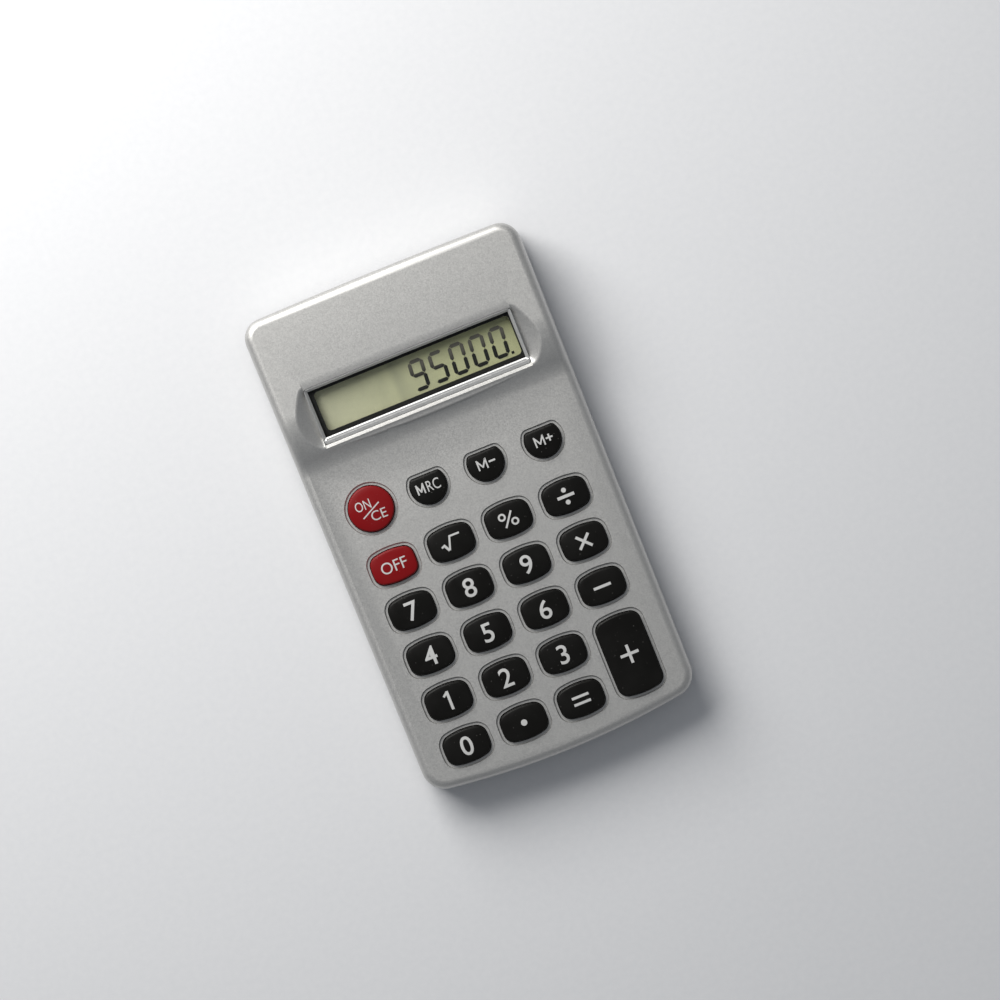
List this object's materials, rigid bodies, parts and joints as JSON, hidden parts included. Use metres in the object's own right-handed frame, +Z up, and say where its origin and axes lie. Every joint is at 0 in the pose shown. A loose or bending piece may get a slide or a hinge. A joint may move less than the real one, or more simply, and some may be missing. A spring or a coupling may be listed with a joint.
{
  "type": "desk calculator",
  "caption": "Pocket-size desk calculator with a raised one-line display, sprung keys in sunken rings and a sliding battery door",
  "frame": {"origin": "under the middle of the case, on the surface that the feet stand on", "axes": "+X to the user's right, +Y from the keypad towards the display end, +Z up out of the keys"},
  "size_m": [0.0654, 0.114, 0.0166],
  "materials": {
    "case_paint": "silver metallic paint on moulded ABS, fine grain, satin",
    "back_plastic": "grey moulded ABS, fine spark texture",
    "key_black": "black moulded ABS, satin, printed legend",
    "key_red": "red moulded ABS, satin, printed legend",
    "silicone": "translucent grey silicone rubber",
    "carbon": "conductive carbon",
    "board_laminate": "phenolic paper laminate, tan",
    "chip_epoxy": "black potting epoxy",
    "capacitor_sleeve": "dark blue shrink sleeve",
    "window_acrylic": "clear moulded acrylic",
    "black_tape": "black foam and tape",
    "polariser_film": "grey-green polarising film",
    "lcd_glass": "thin display glass",
    "reflector_film": "grey-green reflective film",
    "holder_plastic": "black moulded ABS",
    "ribbon_film": "amber heat-seal film",
    "cell_jacket": "printed plastic jacket",
    "contact_nickel": "nickel-plated spring steel",
    "screw_steel": "zinc-plated steel",
    "foot_rubber": "black rubber"
  },
  "bodies": {
    "root": {"front_shell": "case_paint", "rear_shell": "back_plastic", "dome_mat": "silicone", "carbon_pills": "carbon", "main_board": "board_laminate", "key_contact_pads": "carbon", "chip_blob": "chip_epoxy", "capacitor": "capacitor_sleeve", "chip_resistors": "chip_epoxy", "display_bezel": "case_paint", "display_window": "window_acrylic", "window_tape": "black_tape", "lcd_gasket": "black_tape", "lcd_front_polariser": "polariser_film", "lcd_front_glass": "lcd_glass", "lcd_rear_glass": "lcd_glass", "lcd_reflector": "reflector_film", "lcd_holder": "holder_plastic", "lcd_ribbon": "ribbon_film", "battery_cell": "cell_jacket", "contact_positive": "contact_nickel", "contact_negative": "contact_nickel", "case_screws": "screw_steel", "board_screws": "screw_steel", "rubber_feet": "foot_rubber"},
    "key_on_ce_cap": {"key_on_ce": "key_red"},
    "key_mrc_cap": {"key_mrc": "key_black"},
    "key_m_minus_cap": {"key_m_minus": "key_black"},
    "key_m_plus_cap": {"key_m_plus": "key_black"},
    "key_off_cap": {"key_off": "key_red"},
    "key_root_cap": {"key_root": "key_black"},
    "key_percent_cap": {"key_percent": "key_black"},
    "key_divide_cap": {"key_divide": "key_black"},
    "key_7_cap": {"key_7": "key_black"},
    "key_8_cap": {"key_8": "key_black"},
    "key_9_cap": {"key_9": "key_black"},
    "key_multiply_cap": {"key_multiply": "key_black"},
    "key_4_cap": {"key_4": "key_black"},
    "key_5_cap": {"key_5": "key_black"},
    "key_6_cap": {"key_6": "key_black"},
    "key_minus_cap": {"key_minus": "key_black"},
    "key_1_cap": {"key_1": "key_black"},
    "key_2_cap": {"key_2": "key_black"},
    "key_3_cap": {"key_3": "key_black"},
    "key_plus_cap": {"key_plus": "key_black"},
    "key_0_cap": {"key_0": "key_black"},
    "key_point_cap": {"key_point": "key_black"},
    "key_equals_cap": {"key_equals": "key_black"},
    "door": {"battery_door": "back_plastic"}
  },
  "joints": [
    {"name": "key_on_ce_press", "type": "slide", "parent": "root", "child": "key_on_ce_cap", "axis": [0, 0, -1], "range_m": [0, 0.0008], "stiffness_N_per_m": 250, "springref_m": -0.0004, "deforming": ["dome_mat"]},
    {"name": "key_mrc_press", "type": "slide", "parent": "root", "child": "key_mrc_cap", "axis": [0, 0, -1], "range_m": [0, 0.0008], "stiffness_N_per_m": 250, "springref_m": -0.0004, "deforming": ["dome_mat"]},
    {"name": "key_m_minus_press", "type": "slide", "parent": "root", "child": "key_m_minus_cap", "axis": [0, 0, -1], "range_m": [0, 0.0008], "stiffness_N_per_m": 250, "springref_m": -0.0004, "deforming": ["dome_mat"]},
    {"name": "key_m_plus_press", "type": "slide", "parent": "root", "child": "key_m_plus_cap", "axis": [0, 0, -1], "range_m": [0, 0.0008], "stiffness_N_per_m": 250, "springref_m": -0.0004, "deforming": ["dome_mat"]},
    {"name": "key_off_press", "type": "slide", "parent": "root", "child": "key_off_cap", "axis": [0, 0, -1], "range_m": [0, 0.0008], "stiffness_N_per_m": 250, "springref_m": -0.0004, "deforming": ["dome_mat"]},
    {"name": "key_root_press", "type": "slide", "parent": "root", "child": "key_root_cap", "axis": [0, 0, -1], "range_m": [0, 0.0008], "stiffness_N_per_m": 250, "springref_m": -0.0004, "deforming": ["dome_mat"]},
    {"name": "key_percent_press", "type": "slide", "parent": "root", "child": "key_percent_cap", "axis": [0, 0, -1], "range_m": [0, 0.0008], "stiffness_N_per_m": 250, "springref_m": -0.0004, "deforming": ["dome_mat"]},
    {"name": "key_divide_press", "type": "slide", "parent": "root", "child": "key_divide_cap", "axis": [0, 0, -1], "range_m": [0, 0.0008], "stiffness_N_per_m": 250, "springref_m": -0.0004, "deforming": ["dome_mat"]},
    {"name": "key_7_press", "type": "slide", "parent": "root", "child": "key_7_cap", "axis": [0, 0, -1], "range_m": [0, 0.0008], "stiffness_N_per_m": 250, "springref_m": -0.0004, "deforming": ["dome_mat"]},
    {"name": "key_8_press", "type": "slide", "parent": "root", "child": "key_8_cap", "axis": [0, 0, -1], "range_m": [0, 0.0008], "stiffness_N_per_m": 250, "springref_m": -0.0004, "deforming": ["dome_mat"]},
    {"name": "key_9_press", "type": "slide", "parent": "root", "child": "key_9_cap", "axis": [0, 0, -1], "range_m": [0, 0.0008], "stiffness_N_per_m": 250, "springref_m": -0.0004, "deforming": ["dome_mat"]},
    {"name": "key_multiply_press", "type": "slide", "parent": "root", "child": "key_multiply_cap", "axis": [0, 0, -1], "range_m": [0, 0.0008], "stiffness_N_per_m": 250, "springref_m": -0.0004, "deforming": ["dome_mat"]},
    {"name": "key_4_press", "type": "slide", "parent": "root", "child": "key_4_cap", "axis": [0, 0, -1], "range_m": [0, 0.0008], "stiffness_N_per_m": 250, "springref_m": -0.0004, "deforming": ["dome_mat"]},
    {"name": "key_5_press", "type": "slide", "parent": "root", "child": "key_5_cap", "axis": [0, 0, -1], "range_m": [0, 0.0008], "stiffness_N_per_m": 250, "springref_m": -0.0004, "deforming": ["dome_mat"]},
    {"name": "key_6_press", "type": "slide", "parent": "root", "child": "key_6_cap", "axis": [0, 0, -1], "range_m": [0, 0.0008], "stiffness_N_per_m": 250, "springref_m": -0.0004, "deforming": ["dome_mat"]},
    {"name": "key_minus_press", "type": "slide", "parent": "root", "child": "key_minus_cap", "axis": [0, 0, -1], "range_m": [0, 0.0008], "stiffness_N_per_m": 250, "springref_m": -0.0004, "deforming": ["dome_mat"]},
    {"name": "key_1_press", "type": "slide", "parent": "root", "child": "key_1_cap", "axis": [0, 0, -1], "range_m": [0, 0.0008], "stiffness_N_per_m": 250, "springref_m": -0.0004, "deforming": ["dome_mat"]},
    {"name": "key_2_press", "type": "slide", "parent": "root", "child": "key_2_cap", "axis": [0, 0, -1], "range_m": [0, 0.0008], "stiffness_N_per_m": 250, "springref_m": -0.0004, "deforming": ["dome_mat"]},
    {"name": "key_3_press", "type": "slide", "parent": "root", "child": "key_3_cap", "axis": [0, 0, -1], "range_m": [0, 0.0008], "stiffness_N_per_m": 250, "springref_m": -0.0004, "deforming": ["dome_mat"]},
    {"name": "key_plus_press", "type": "slide", "parent": "root", "child": "key_plus_cap", "axis": [0, 0, -1], "range_m": [0, 0.0008], "stiffness_N_per_m": 250, "springref_m": -0.0004, "deforming": ["dome_mat"]},
    {"name": "key_0_press", "type": "slide", "parent": "root", "child": "key_0_cap", "axis": [0, 0, -1], "range_m": [0, 0.0008], "stiffness_N_per_m": 250, "springref_m": -0.0004, "deforming": ["dome_mat"]},
    {"name": "key_point_press", "type": "slide", "parent": "root", "child": "key_point_cap", "axis": [0, 0, -1], "range_m": [0, 0.0008], "stiffness_N_per_m": 250, "springref_m": -0.0004, "deforming": ["dome_mat"]},
    {"name": "key_equals_press", "type": "slide", "parent": "root", "child": "key_equals_cap", "axis": [0, 0, -1], "range_m": [0, 0.0008], "stiffness_N_per_m": 250, "springref_m": -0.0004, "deforming": ["dome_mat"]},
    {"name": "battery_door_slide", "type": "slide", "parent": "root", "child": "door", "axis": [0, 1, 0], "range_m": [0, 0.014]}
  ]
}
